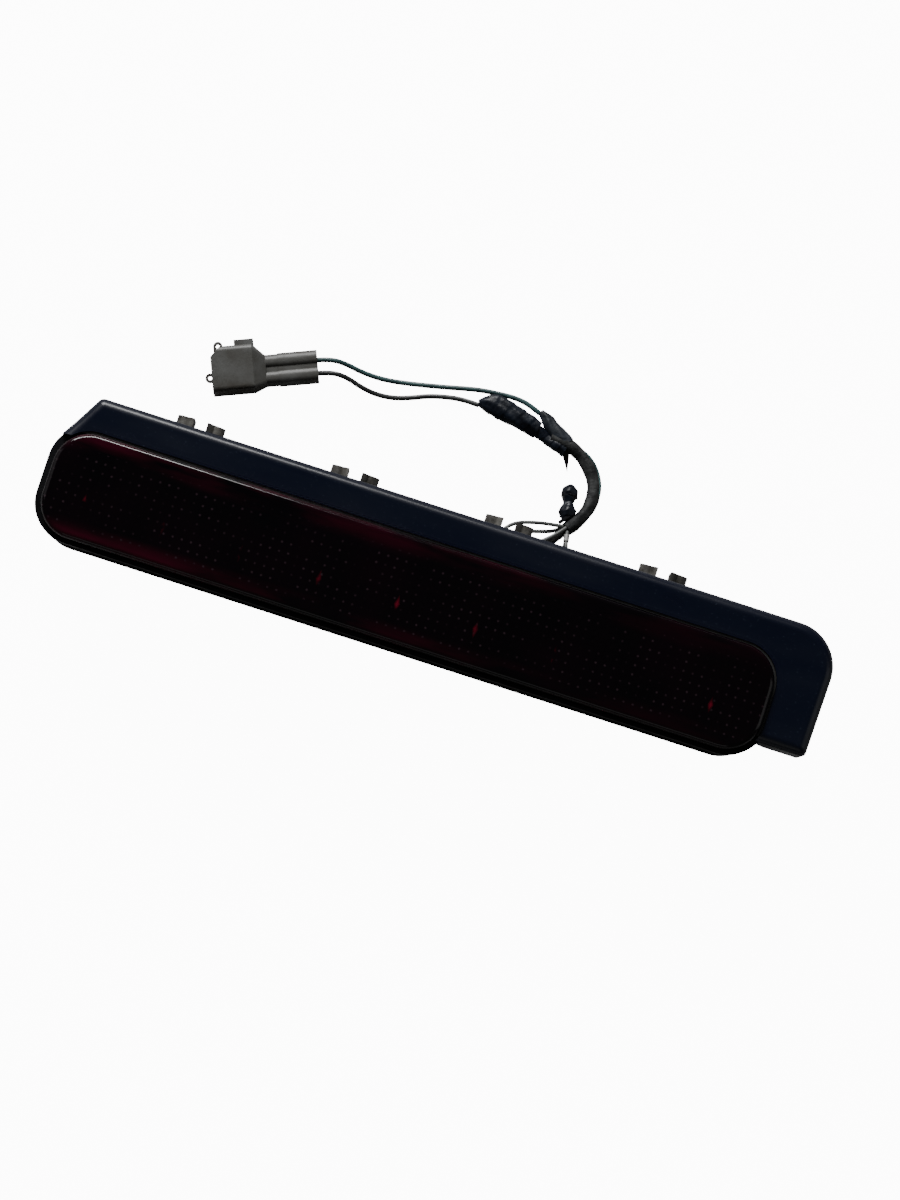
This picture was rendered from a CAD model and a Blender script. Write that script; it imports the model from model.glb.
"""Third brake light: camera, cords, replaced soft pieces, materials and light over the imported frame."""
import math

import bpy
from mathutils import Matrix, Vector


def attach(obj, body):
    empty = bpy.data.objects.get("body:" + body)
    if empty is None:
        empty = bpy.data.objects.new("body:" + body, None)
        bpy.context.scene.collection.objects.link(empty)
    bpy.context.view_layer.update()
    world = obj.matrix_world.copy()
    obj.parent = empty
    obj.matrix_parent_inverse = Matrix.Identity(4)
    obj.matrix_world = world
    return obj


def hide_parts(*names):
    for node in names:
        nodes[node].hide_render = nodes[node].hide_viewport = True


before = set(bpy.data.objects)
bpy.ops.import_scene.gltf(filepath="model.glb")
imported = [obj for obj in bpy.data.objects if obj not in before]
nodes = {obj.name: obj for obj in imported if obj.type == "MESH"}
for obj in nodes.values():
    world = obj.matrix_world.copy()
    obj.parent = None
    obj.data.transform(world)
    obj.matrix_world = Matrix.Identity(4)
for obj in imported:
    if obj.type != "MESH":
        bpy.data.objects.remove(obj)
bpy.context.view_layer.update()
scene = bpy.context.scene
MM = 0.001

# Camera: what it looks at in millimetres, how far it stands off in metres, its tilts in degrees
CAMERA_TARGET = (8.4, -7.4, 50.0)
CAMERA_DISTANCE = 1.5
CAMERA_LEAN = 5.0
CAMERA_ROLL = 17.9
CAMERA_LENS = 104.8

# Lens, in metres: its middle line, the half width and pitch of its optics, and where its red border begins
LENS_MIDDLE_Y = -0.0105
GRID_HALF_WIDTH = 0.0165
GRID_PITCH = 0.0041
BORDER_FROM = 0.0135

# Glints at the bulbs: their line and pitch in metres, and their shift in pitches
GLINT_Y = -0.0165
GLINT_PITCH = 0.0352
GLINT_SHIFT = 2.86

# Cords and tapes, in millimetres
WIRE_DIAMETER = 2.3
LEAD_DIAMETER = 1.7
BUNDLE_DIAMETER = 6.0
BARED_WIRE_RADIUS = 0.8
FLOOR_GAP = 0.15
TAIL_THICK = 0.35

# Strength of the floor's own light to the camera and of the light from all round
FLOOR_GLOW = 12.0
WORLD_STRENGTH = 0.09


# ---------------------------------------------------------------- camera
def add_camera():
    """Long lens almost along -Z, rolled so that the lamp slopes down to the right."""
    lean = math.radians(CAMERA_LEAN)
    roll = math.radians(CAMERA_ROLL)
    away = Vector((0, -math.sin(lean), math.cos(lean)))
    right = Vector((math.cos(roll), math.sin(roll), 0))
    right = (right - away * right.dot(away)).normalized()
    up = away.cross(right)
    data = bpy.data.cameras.new("camera")
    data.sensor_fit = "VERTICAL"
    data.sensor_height = 36
    data.lens = CAMERA_LENS
    data.clip_end = 20
    camera = bpy.data.objects.new("camera", data)
    scene.collection.objects.link(camera)
    spot = Vector(CAMERA_TARGET) * MM + away * CAMERA_DISTANCE
    camera.matrix_world = Matrix.Translation(spot) @ Matrix((right, up, away)).transposed().to_4x4()
    scene.camera = camera


add_camera()


# ---------------------------------------------------------------- helpers
def route_curve(name, route_mm):
    """Open NURBS curve of order 3 whose control points are a route in millimetres."""
    data = bpy.data.curves.new(name, "CURVE")
    data.dimensions = "3D"
    data.resolution_u = 12
    spline = data.splines.new("NURBS")
    spline.points.add(len(route_mm) - 1)
    for point, place in zip(spline.points, route_mm):
        point.co = (*[v * MM for v in place], 1)
    spline.order_u = 3
    spline.use_endpoint_u = True
    curve = bpy.data.objects.new(name, data)
    scene.collection.objects.link(curve)
    return curve


def curve_points(route_mm):
    """Points along a route's NURBS line."""
    curve = route_curve("measure", route_mm)
    bpy.context.view_layer.update()
    mesh = bpy.data.meshes.new_from_object(curve)
    points = [v.co.copy() for v in mesh.vertices]
    bpy.data.meshes.remove(mesh)
    bpy.data.objects.remove(curve)
    return points


def line_length(points):
    """Length of a line through points."""
    return sum((b - a).length for a, b in zip(points, points[1:]))


def make_mesh(name, vertices, faces, smooth=True):
    """Mesh object linked to the scene."""
    mesh = bpy.data.meshes.new(name)
    mesh.from_pydata(vertices, [], faces)
    mesh.update()
    piece = bpy.data.objects.new(name, mesh)
    scene.collection.objects.link(piece)
    for polygon in mesh.polygons:
        polygon.use_smooth = smooth
    return piece


def resample(points, count):
    """Evenly spaced points along a line."""
    total = line_length(points)
    made = []
    reached, index = 0.0, 0
    for i in range(count):
        goal = total * i / (count - 1)
        while index < len(points) - 2:
            span = (points[index + 1] - points[index]).length
            if reached + span >= goal:
                break
            reached += span
            index += 1
        step = points[index + 1] - points[index]
        made.append(points[index] + step * min(1.0, (goal - reached) / max(step.length, 1e-9)))
    return made


def tube_mesh(name, points, radius, sides=20):
    """Closed tube round a line; radius(t, angle) in metres, t from 0 to 1."""
    vertices, faces = [], []
    side = (points[1] - points[0]).cross(Vector((0, 0, 1))).normalized()
    for i, point in enumerate(points):
        along = (points[min(i + 1, len(points) - 1)] - points[max(i - 1, 0)]).normalized()
        side = (side - along * side.dot(along)).normalized()
        up = along.cross(side)
        t = i / (len(points) - 1)
        for k in range(sides):
            angle = 2 * math.pi * k / sides
            r = radius(t, angle)
            vertices.append(point + side * (r * math.cos(angle)) + up * (r * math.sin(angle)))
    for i in range(len(points) - 1):
        for k in range(sides):
            a, b = i * sides + k, i * sides + (k + 1) % sides
            faces.append((a, b, b + sides, a + sides))
    faces.append(tuple(reversed(range(sides))))
    last = (len(points) - 1) * sides
    faces.append(tuple(range(last, last + sides)))
    return make_mesh(name, vertices, faces)


# ---------------------------------------------------------------- materials
def material(name, base, roughness, metallic=0.0, specular=0.5):
    """Principled material; its callers add the noise-driven detail."""
    made = bpy.data.materials.new(name)
    made.use_nodes = True
    inputs = made.node_tree.nodes["Principled BSDF"].inputs
    inputs["Base Color"].default_value = (*base, 1)
    inputs["Roughness"].default_value = roughness
    inputs["Metallic"].default_value = metallic
    inputs["Specular IOR Level"].default_value = specular
    return made


def add(tree, kind, **settings):
    """New node with its settings."""
    node = tree.nodes.new(kind)
    for key, value in settings.items():
        setattr(node, key, value)
    return node


def grey(level):
    """Colour of one level in all three channels."""
    return (level, level, level)


BLACK = grey(0)
WHITE = grey(1)


def object_noise(made, scale, detail=3.0, stretch=(1, 1, 1)):
    """Noise in object space; returns its factor socket."""
    tree = made.node_tree
    where = add(tree, "ShaderNodeTexCoord")
    place = add(tree, "ShaderNodeMapping")
    place.inputs["Scale"].default_value = stretch
    grain = add(tree, "ShaderNodeTexNoise")
    grain.inputs["Scale"].default_value = scale
    grain.inputs["Detail"].default_value = detail
    tree.links.new(where.outputs["Object"], place.inputs["Vector"])
    tree.links.new(place.outputs["Vector"], grain.inputs["Vector"])
    return grain.outputs["Fac"]


def ramp(made, factor, stops):
    """Colour ramp over a factor; stops are (position, colour)."""
    node = add(made.node_tree, "ShaderNodeValToRGB")
    elements = node.color_ramp.elements
    while len(elements) < len(stops):
        elements.new(0.5)
    for element, (position, colour) in zip(elements, stops):
        element.position = position
        element.color = (*colour, 1)
    made.node_tree.links.new(factor, node.inputs["Fac"])
    return node.outputs["Color"]


def drive(made, socket, source):
    """Link a source to one of the shader's inputs."""
    made.node_tree.links.new(source, made.node_tree.nodes["Principled BSDF"].inputs[socket])


def bump(made, height, strength, distance):
    """Bump from a height, linked to the shader's normal."""
    node = add(made.node_tree, "ShaderNodeBump")
    node.inputs["Strength"].default_value = strength
    node.inputs["Distance"].default_value = distance
    made.node_tree.links.new(height, node.inputs["Height"])
    drive(made, "Normal", node.outputs["Normal"])


def mottled(name, dark, light, roughness, scale, grain_scale, grain, **more):
    """Material whose colour wanders between two tones and whose surface has a fine grain."""
    made = material(name, dark, roughness, **more)
    drive(made, "Base Color", ramp(made, object_noise(made, scale), [(0.35, dark), (0.68, light)]))
    smoother, rougher = grey(roughness * 0.85), grey(min(1, roughness * 1.2))
    drive(made, "Roughness", ramp(made, object_noise(made, scale * 3), [(0.3, smoother), (0.7, rougher)]))
    bump(made, object_noise(made, grain_scale), grain, 0.0004)
    return made


def cover_material():
    """Dark gloss lacquer with dust specks, hair scratches and a soft haze."""
    lacquer, dust = (0.0008, 0.002, 0.0085), (0.012, 0.016, 0.028)
    made = material("cover_lacquer", lacquer, 0.3, specular=0.3)
    drive(made, "Base Color", ramp(made, object_noise(made, 1100, 2), [(0.66, lacquer), (0.76, dust)]))
    haze = object_noise(made, 18, 6, (1, 4, 4))
    drive(made, "Roughness", ramp(made, haze, [(0.35, grey(0.27)), (0.7, grey(0.38))]))
    bump(made, object_noise(made, 260, 4, (0.25, 1, 1)), 0.06, 0.0003)
    return made


def math_node(tree, operation, first, second=None, third=None):
    """Math node over sockets or numbers; returns its value socket."""
    node = add(tree, "ShaderNodeMath", operation=operation)
    for index, value in enumerate((first, second, third)):
        if isinstance(value, (int, float)):
            node.inputs[index].default_value = value
        elif value is not None:
            tree.links.new(value, node.inputs[index])
    return node.outputs[0]


def mixed(tree, factor, first, second):
    """Colour between two; each is a socket or a colour."""
    node = add(tree, "ShaderNodeMix", data_type="RGBA")
    tree.links.new(factor, node.inputs[0])
    for index, value in ((6, first), (7, second)):
        if isinstance(value, tuple):
            node.inputs[index].default_value = (*value, 1)
        else:
            tree.links.new(value, node.inputs[index])
    return node.outputs[2]


def clamped(tree, value):
    """Value held between 0 and 1."""
    return math_node(tree, "MINIMUM", math_node(tree, "MAXIMUM", value, 0.0), 1.0)


def from_cell_middle(tree, place):
    """Offset of a place, counted in cells, from the middle of its cell."""
    return math_node(tree, "SUBTRACT", math_node(tree, "FRACT", place), 0.5)


def distance_from(tree, value, middle):
    """Distance of a value from a middle."""
    return math_node(tree, "ABSOLUTE", math_node(tree, "ADD", value, -middle))


def lens_material():
    """Smoked red acrylic: a square grid of pillow optics, a plain border and dim red glints at the bulbs."""
    made = material("lens_acrylic", (0.02, 0.0004, 0.001), 0.12, specular=0.12)
    tree = made.node_tree
    shader = tree.nodes["Principled BSDF"]
    shader.inputs["Transmission Weight"].default_value = 0.35
    shader.inputs["IOR"].default_value = 1.49
    split = add(tree, "ShaderNodeSeparateXYZ")
    tree.links.new(add(tree, "ShaderNodeTexCoord").outputs["Object"], split.inputs[0])
    x, y = split.outputs["X"], split.outputs["Y"]
    # Dots of the pillow optics, clear of the border and dirty in patches
    off_x = from_cell_middle(tree, math_node(tree, "DIVIDE", x, GRID_PITCH))
    off_y = from_cell_middle(tree, math_node(tree, "DIVIDE", y, GRID_PITCH))
    squares = [math_node(tree, "MULTIPLY", off, off) for off in (off_x, off_y)]
    reach = math_node(tree, "SQRT", math_node(tree, "ADD", *squares))
    from_middle = distance_from(tree, y, LENS_MIDDLE_Y)
    inside = math_node(tree, "LESS_THAN", from_middle, GRID_HALF_WIDTH)
    patchy = ramp(made, object_noise(made, 150, 3), [(0.42, grey(0.05)), (0.62, WHITE)])
    dots = math_node(tree, "MULTIPLY", ramp(made, reach, [(0.06, WHITE), (0.16, BLACK)]), inside)
    dots = math_node(tree, "MULTIPLY", dots, patchy)
    # Red along the upper and lower borders, stronger towards the left
    border = math_node(tree, "MULTIPLY", math_node(tree, "SUBTRACT", from_middle, BORDER_FROM), 140.0)
    fade = math_node(tree, "MULTIPLY_ADD", x, -2.8, 0.55)
    streaks = ramp(made, object_noise(made, 40, 4, (0.5, 3, 1)), [(0.4, BLACK), (0.66, WHITE)])
    glow = math_node(tree, "MULTIPLY", math_node(tree, "MULTIPLY", border, fade), streaks)
    # Upright glints where the bulbs catch the light
    across = math_node(tree, "ABSOLUTE", from_cell_middle(
        tree, math_node(tree, "MULTIPLY_ADD", x, 1 / GLINT_PITCH, GLINT_SHIFT)))
    along = distance_from(tree, y, GLINT_Y)
    outward = math_node(tree, "ADD", math_node(tree, "MULTIPLY", across, 26.0),
                        math_node(tree, "MULTIPLY", along, 230.0))
    broken = ramp(made, object_noise(made, 130, 2), [(0.46, BLACK), (0.62, WHITE)])
    glint = math_node(tree, "MULTIPLY", clamped(tree, math_node(tree, "SUBTRACT", 1.0, outward)), broken)
    dark, less_dark = (0.0006, 0.0001, 0.0009), (0.0034, 0.0002, 0.0021)
    tone = ramp(made, object_noise(made, 30, 4), [(0.35, dark), (0.7, less_dark)])
    tone = mixed(tree, clamped(tree, glow), tone, (0.042, 0.0004, 0.0085))
    tone = mixed(tree, glint, tone, (0.15, 0.003, 0.016))
    tone = mixed(tree, dots, tone, (0.03, 0.017, 0.023))
    drive(made, "Base Color", tone)
    return made


def set_material(names, made):
    """One material on each named CAD node."""
    for name in names:
        slots = nodes[name].data.materials
        slots.clear()
        slots.append(made)


def numbered(stem):
    """Names of the four nodes of a stem, one for each socket."""
    return [f"{stem}_{i}" for i in range(1, 5)]


# Name, dark tone, light tone, roughness, scale of the patches, scale and strength of the grain
black_plastic = mottled(
    "housing_plastic", (0.0015, 0.0015, 0.002), (0.005, 0.005, 0.007), 0.45, 25, 1400, 0.25, specular=0.14)
black_rubber = mottled("black_rubber", (0.004, 0.004, 0.004), (0.012, 0.012, 0.012), 0.7, 60, 900, 0.3)
foam = mottled("foam", (0.008, 0.008, 0.008), (0.035, 0.034, 0.033), 0.95, 300, 1600, 1.0, specular=0.2)
tape = mottled("tape", (0.0015, 0.0022, 0.005), (0.006, 0.009, 0.016), 0.4, 180, 700, 0.5, specular=0.22)
dusty_tape = mottled(
    "dusty_tape", (0.004, 0.0045, 0.005), (0.022, 0.023, 0.023), 0.65, 240, 900, 0.6, specular=0.2)
flag_tape = mottled("flag_tape", (0.005, 0.007, 0.01), (0.02, 0.024, 0.032), 0.5, 120, 700, 0.4, specular=0.2)
green_wire = mottled("green_wire", (0.008, 0.03, 0.032), (0.03, 0.075, 0.075), 0.4, 160, 900, 0.1)
black_wire = mottled("black_wire", (0.005, 0.006, 0.006), (0.025, 0.028, 0.028), 0.42, 160, 900, 0.1)
grey_wire = mottled("grey_wire", (0.022, 0.024, 0.023), (0.1, 0.105, 0.1), 0.5, 160, 900, 0.15)
sleeve = mottled("sleeve", (0.14, 0.14, 0.135), (0.3, 0.3, 0.29), 0.5, 200, 900, 0.2)
socket_plastic = mottled("socket_plastic", (0.016, 0.014, 0.011), (0.1, 0.096, 0.086), 0.5, 150, 900, 0.3)
steel = mottled("plated_steel", (0.42, 0.42, 0.41), (0.6, 0.6, 0.58), 0.35, 200, 900, 0.1, metallic=1.0)
brass = mottled("brass", (0.55, 0.42, 0.22), (0.75, 0.62, 0.38), 0.3, 200, 900, 0.1, metallic=1.0)
silver = mottled("reflector_silver", (0.6, 0.61, 0.63), (0.78, 0.79, 0.8), 0.16, 12, 400, 0.05, metallic=1.0)
wire_seal = mottled("wire_seal", (0.08, 0.03, 0.015), (0.16, 0.07, 0.035), 0.6, 200, 900, 0.2)
holder = mottled("holder", (0.12, 0.115, 0.1), (0.2, 0.195, 0.18), 0.5, 70, 900, 0.2)


def connector_material():
    """Aged grey-white nylon with brown stains."""
    stain, dull, clean = (0.018, 0.013, 0.008), (0.04, 0.039, 0.035), (0.078, 0.08, 0.078)
    made = material("connector_nylon", clean, 0.5)
    patches = object_noise(made, 60, 5)
    drive(made, "Base Color", ramp(made, patches, [(0.34, stain), (0.46, dull), (0.75, clean)]))
    bump(made, object_noise(made, 700), 0.25, 0.0003)
    return made


def glass_material():
    """Clear glass, a little uneven."""
    made = material("bulb_glass", (0.95, 0.96, 0.96), 0.03)
    made.node_tree.nodes["Principled BSDF"].inputs["Transmission Weight"].default_value = 1.0
    bump(made, object_noise(made, 90), 0.05, 0.0002)
    return made


set_material(["cover"], cover_material())
set_material(["lens"], lens_material())
set_material(["housing", "cable_clip"], black_plastic)
set_material(["lens_bond", "cover_trim_seal"] + numbered("socket_seal"), black_rubber)
set_material(["reflector"], silver)
set_material(["reflector_screws", "cover_screws", "mounting_studs"] + numbered("filament"), steel)
set_material(numbered("socket"), socket_plastic)
set_material(numbered("socket_contacts") + ["connector_terminals"], brass)
set_material(numbered("bulb"), glass_material())
set_material(["connector_housing"], connector_material())
set_material(["connector_front_holder"], holder)
set_material(["connector_wire_seals"], wire_seal)
set_material(["vinyl_sleeve"], sleeve)
set_material(["base_gasket"], foam)


# ---------------------------------------------------------------- cords
# Routes in millimetres, the same as in the CAD source
BUNDLE_ROUTE = [
    (47.6, 41.4, 12.4), (52.6, 48.0, 10.6), (54.9, 56.0, 8.2), (54.0, 64.4, 5.6),
    (49.8, 71.6, 3.9), (43.2, 76.8, 3.2), (35.6, 79.4, 3.2), (29.1, 79.9, 3.2),
]
GREEN_ROUTE = [
    (21.1, 88.5, 1.3), (15.5, 90.9, 1.3), (8.6, 91.9, 1.3), (0.0, 91.3, 1.3), (-9.0, 90.2, 1.3),
    (-21.0, 87.2, 1.3), (-35.0, 84.0, 1.4), (-48.5, 81.4, 2.1), (-59.5, 81.2, 4.2), (-67.8, 82.4, 6.8),
    (-74.9, 82.0, 8.4), (-81.0, 79.5, 8.4),
]
BLACK_ROUTE = [
    (-6.1, 83.6, 2.2), (-12.5, 84.0, 1.5), (-20.5, 82.9, 1.3), (-28.6, 80.7, 1.3), (-35.5, 77.6, 1.3),
    (-43.0, 74.9, 1.7), (-51.0, 73.9, 3.0), (-58.5, 74.8, 4.8), (-65.4, 76.7, 7.0),
    (-72.7, 76.6, 8.4), (-78.7, 74.0, 8.4),
]
SOCKET_X = [-118.0, -47.6, 22.8, 93.2]
SEAT_SPREAD = 2.05


def bundle_seat(turn, back, spread=SEAT_SPREAD):
    """Place in the bundle's first face, turn sevenths of the way round it and back from it."""
    start, after = Vector(BUNDLE_ROUTE[0]), Vector(BUNDLE_ROUTE[1])
    heading = (after - start).normalized()
    side = heading.cross(Vector((0, 0, 1))).normalized()
    up = side.cross(heading)
    angle = 2 * math.pi * turn / 7
    return tuple(start - heading * back + (side * math.cos(angle) + up * math.sin(angle)) * spread)


def lead_routes():
    """Two leads from each socket to the bundle."""
    x1, x2, x3, x4 = SOCKET_X
    return {
        "1a": [
            (x1 + 8.3, 22.9, 32.0), (x1 + 18.0, 22.3, 31.0), (x1 + 31.0, 20.8, 20.6), (x1 + 46.0, 20.4, 18.3),
            (-43.0, 20.9, 18.5), (-14.0, 20.3, 18.4), (10.0, 20.8, 18.6), (28.5, 21.2, 18.2),
            (36.2, 25.6, 16.8), bundle_seat(0, 8.0, 0), bundle_seat(0, 0.1, 0),
        ],
        "1b": [
            (x1 + 8.3, 25.9, 32.0), (x1 + 15.0, 25.1, 30.6), (x1 + 28.0, 22.4, 18.6), (x1 + 42.0, 20.7, 15.9),
            (-46.0, 20.2, 16.1), (-16.0, 20.8, 15.9), (9.0, 20.3, 16.1), (30.5, 20.9, 15.6),
            (38.6, 25.6, 14.4), bundle_seat(6, 8.0), bundle_seat(6, 0.1),
        ],
        "2a": [
            (x2 + 8.3, 22.9, 32.0), (x2 + 18.0, 23.2, 31.0), (x2 + 31.0, 23.5, 20.6), (x2 + 46.0, 23.3, 18.5),
            (13.0, 23.6, 18.6), (25.0, 24.0, 18.6), (32.6, 27.8, 17.8),
            bundle_seat(2, 8.0), bundle_seat(2, 0.1),
        ],
        "2b": [
            (x2 + 8.3, 25.9, 32.0), (x2 + 15.0, 25.7, 30.6), (x2 + 28.0, 24.6, 18.6), (x2 + 43.0, 23.4, 15.9),
            (11.0, 23.1, 16.0), (25.5, 23.5, 15.4), (34.0, 27.4, 13.8),
            bundle_seat(5, 8.0), bundle_seat(5, 0.1),
        ],
        "3a": [
            (x3 - 3.0, 25.5, 23.7), (x3 - 3.3, 26.8, 19.8), (x3 - 2.0, 32.1, 17.6), (25.2, 36.9, 17.0),
            (33.0, 39.6, 16.2), (40.0, 41.2, 14.8), bundle_seat(3, 0.7),
        ],
        "3b": [
            (x3 + 2.4, 25.5, 23.7), (x3 + 2.6, 26.8, 19.8), (x3 + 4.0, 31.1, 17.0), (31.2, 34.9, 15.8),
            (37.4, 36.9, 14.0), bundle_seat(4, 4.0), bundle_seat(4, 0.1),
        ],
        "4a": [
            (x4 - 8.3, 22.9, 32.0), (x4 - 17.0, 23.2, 30.0), (x4 - 26.0, 24.0, 22.0), (58.0, 25.4, 16.0),
            (51.2, 27.6, 14.2), (48.9, 32.6, 13.2), bundle_seat(0, 0.6),
        ],
        "4b": [
            (x4 - 8.3, 25.9, 32.0), (x4 - 17.0, 26.2, 30.6), (x4 - 26.0, 27.0, 24.4), (58.6, 28.0, 19.8),
            (52.0, 29.6, 18.2), (49.4, 33.4, 17.0), bundle_seat(1, 0.6),
        ],
    }


def place_soft(piece, made, node):
    """Material, body, replaced CAD node and slot of a soft piece."""
    piece.data.materials.append(made)
    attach(piece, "lamp")
    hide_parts(node)


def lay_wire(name, route, diameter, made, node):
    """Insulated wire along its route, declared as a free cord."""
    curve = route_curve(name, route)
    curve.data.bevel_depth = diameter * MM / 2
    curve.data.bevel_resolution = 5
    curve.data.use_fill_caps = True
    place_soft(curve, made, node)
    length = line_length(curve_points(route))


def bare_wire(points):
    """Wire that shows at the bundle's outer side, where the tape has worn."""
    # Steps along the bundle where the wire shows, and where it stands out most
    first, last, fullest = 48, 112, 78
    bared = []
    for i in range(first, last, 4):
        along = (points[i + 1] - points[i - 1]).normalized()
        outward = along.cross(Vector((0, 0, 1))).normalized()
        outset = 2.75 - 1.1 * abs((i - fullest) / (last - fullest)) ** 3
        bared.append(points[i] + outward * outset * MM + Vector((0, 0, 0.9 * MM)))
    wire = tube_mesh("bared_wire", resample(bared, 60), lambda t, angle: BARED_WIRE_RADIUS * MM, sides=12)
    place_soft(wire, green_wire, "harness_bundle")
    return wire


def lay_bundle():
    """Bundle wound in cloth tape: a tube with the tape's overlapping turns and lumps of wire under it."""
    points = resample(curve_points(BUNDLE_ROUTE), 150)

    def radius(t, angle):
        wrap = (t * 11 + angle / (2 * math.pi)) % 1
        lump = 0.05 * math.sin(3 * angle + 9 * t) + 0.035 * math.sin(5 * angle - 14 * t + 1)
        wander = 0.05 * math.sin(t * 23)
        return BUNDLE_DIAMETER / 2 * MM * (0.96 + lump + wander + 0.045 * wrap)

    bundle = tube_mesh("taped_bundle", points, radius, sides=28)
    place_soft(bundle, dusty_tape, "harness_bundle")
    wire = bare_wire(points)
    # The same tape is wound round the clip
    clip_tape = lay_tape(
        "clip_tape",
        [(47.4, 45.2, 11.7), (45.9, 48.4, 11.4), (45.0, 53.0, 10.2), (44.4, 58.0, 9.0), (44.0, 61.4, 8.2)],
        [1.4, 3.3, 3.9, 3.0, 2.3, 3.3, 4.1, 3.4, 1.2], 4.1, 3.5, tape, "harness_bundle")


def lay_tape(name, route, half_widths, half_height, turns, made, replaced):
    """Wound tape along a route: half widths at equal steps, flattened, with overlapping turns."""
    points = resample([Vector(p) * MM for p in route] if len(route) == 2 else curve_points(route), 60)

    def radius(t, angle):
        place = t * (len(half_widths) - 1)
        index = min(int(place), len(half_widths) - 2)
        wide = half_widths[index] + (half_widths[index + 1] - half_widths[index]) * (place - index)
        flat = 1 / math.hypot(math.cos(angle) / wide, math.sin(angle) / min(half_height, wide))
        wrap = (t * turns + angle / (2 * math.pi)) % 1
        lump = 0.06 * math.sin(2 * angle + 7 * t) + 0.05 * math.sin(5 * angle - 11 * t)
        return flat * (0.93 + 0.07 * wrap + lump) * MM

    wound = tube_mesh(name, points, radius, sides=32)
    for vertex in wound.data.vertices:
        vertex.co.z = max(vertex.co.z, FLOOR_GAP * MM)
    place_soft(wound, made, replaced)
    return wound


def lay_tape_tail():
    """Loose pointed end of the tape."""
    outline = [
        (36.2, 76.2, 3.9), (38.9, 75.6, 3.6), (39.6, 72.4, 2.6),
        (40.6, 67.2, 1.2), (38.6, 70.2, 1.9), (36.6, 73.0, 3.0),
    ]
    lower = [Vector(p) * MM for p in outline]
    upper = [(Vector(p) + Vector((0, 0, TAIL_THICK))) * MM for p in outline]
    count = len(outline)
    faces = [tuple(reversed(range(count))), tuple(range(count, 2 * count))]
    faces += [(i, (i + 1) % count, (i + 1) % count + count, i + count) for i in range(count)]
    tail = make_mesh("tape_tail", lower + upper, faces, smooth=False)
    place_soft(tail, dusty_tape, "tape_flag")


lay_bundle()
lay_tape(
    "splice_tape",
    [(-6.4, 84.4, 3.2), (0.5, 85.9, 3.7), (8.0, 84.6, 3.7), (15.0, 82.5, 3.7), (22.6, 80.9, 3.6)],
    [1.6, 4.4, 5.2, 5.3, 5.0, 4.6, 3.8], 3.2, 5, tape, "splice_pack")
lay_tape(
    "joint_tape", [(21.8, 80.6, 3.5), (27.0, 78.4, 3.4), (32.0, 76.8, 3.4), (37.0, 75.9, 3.4)],
    [3.0, 2.4, 2.8, 3.0], 2.9, 4, tape, "tape_flag")
lay_tape(
    "wire_flag", [(21.3, 89.4, 1.9), (36.6, 78.2, 3.5)],
    [1.4, 3.2, 4.0, 4.2], 3.0, 1.5, flag_tape, "tape_flag")
lay_tape_tail()
lay_wire("green_wire", GREEN_ROUTE, WIRE_DIAMETER, green_wire, "lead_green")
lay_wire("black_wire", BLACK_ROUTE, WIRE_DIAMETER, black_wire, "lead_black")
for key, route in lead_routes().items():
    lay_wire(f"socket_wire_{key}", route, LEAD_DIAMETER, grey_wire, f"socket_leads_{key[0]}")


# ---------------------------------------------------------------- floor, light, world
def add_floor():
    """Floor that looks white to the camera and throws little light back at the part."""
    made = material("floor", grey(0.35), 0.95, specular=0.0)
    tree = made.node_tree
    shader = tree.nodes["Principled BSDF"]
    shader.inputs["Emission Color"].default_value = (1, 1, 1, 1)
    seen = add(tree, "ShaderNodeLightPath").outputs["Is Camera Ray"]
    tree.links.new(math_node(tree, "MULTIPLY", seen, FLOOR_GLOW), shader.inputs["Emission Strength"])
    floor = make_mesh("floor", [(-3, -3, 0), (3, -3, 0), (3, 3, 0), (-3, 3, 0)], [(0, 1, 2, 3)])
    floor.data.materials.append(made)


def add_light(name, place, aim, size, power):
    """Area light at a place, turned to its aim."""
    data = bpy.data.lights.new(name, "AREA")
    data.shape = "RECTANGLE"
    data.size, data.size_y = size
    data.energy = power
    light = bpy.data.objects.new(name, data)
    light.location = place
    light.rotation_euler = (Vector(aim) - Vector(place)).to_track_quat("-Z", "Y").to_euler()
    scene.collection.objects.link(light)


def add_world():
    """Faint even white light from all round."""
    world = bpy.data.worlds.new("world")
    world.use_nodes = True
    background = world.node_tree.nodes["Background"]
    background.inputs["Color"].default_value = (1, 1, 1, 1)
    background.inputs["Strength"].default_value = WORLD_STRENGTH
    scene.world = world


add_floor()
add_light("window", place=(-0.75, 1.4, 0.85), aim=(-0.06, 0.03, 0.04), size=(1.2, 0.4), power=62)
add_light("left", place=(-1.8, 0.3, 1.0), aim=(0, 0, 0), size=(0.8, 1.6), power=2.5)
add_light("right", place=(1.8, 0.2, 1.0), aim=(0, 0, 0), size=(0.8, 1.6), power=3)
add_light("front", place=(0.1, -1.8, 1.0), aim=(0, 0, 0), size=(1.6, 0.8), power=2)
add_world()
